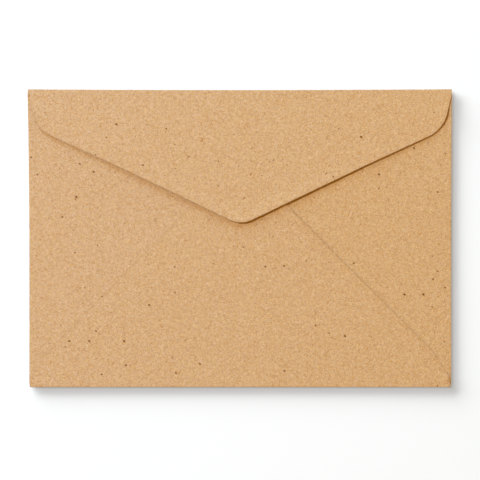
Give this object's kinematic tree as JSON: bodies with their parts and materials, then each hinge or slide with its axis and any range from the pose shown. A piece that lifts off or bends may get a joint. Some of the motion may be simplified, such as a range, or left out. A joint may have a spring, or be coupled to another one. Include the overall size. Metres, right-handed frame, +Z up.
{
  "type": "paper envelope",
  "caption": "Closed kraft paper envelope with a deep pointed closing flap, diagonal side seams and rounded flap shoulders, lying flat.",
  "frame": {"origin": "middle of the address panel's outer face, on the surface that the envelope lies on", "axes": "+X along the envelope's width, +Y from the bottom fold to the closing flap's fold, +Z up through the pocket to the flap side"},
  "size_m": [0.162, 0.114, 0.0025],
  "materials": {
    "kraft_paper": "matte"
  },
  "bodies": {
    "root": {"folded_sheet": "kraft_paper"}
  },
  "joints": []
}
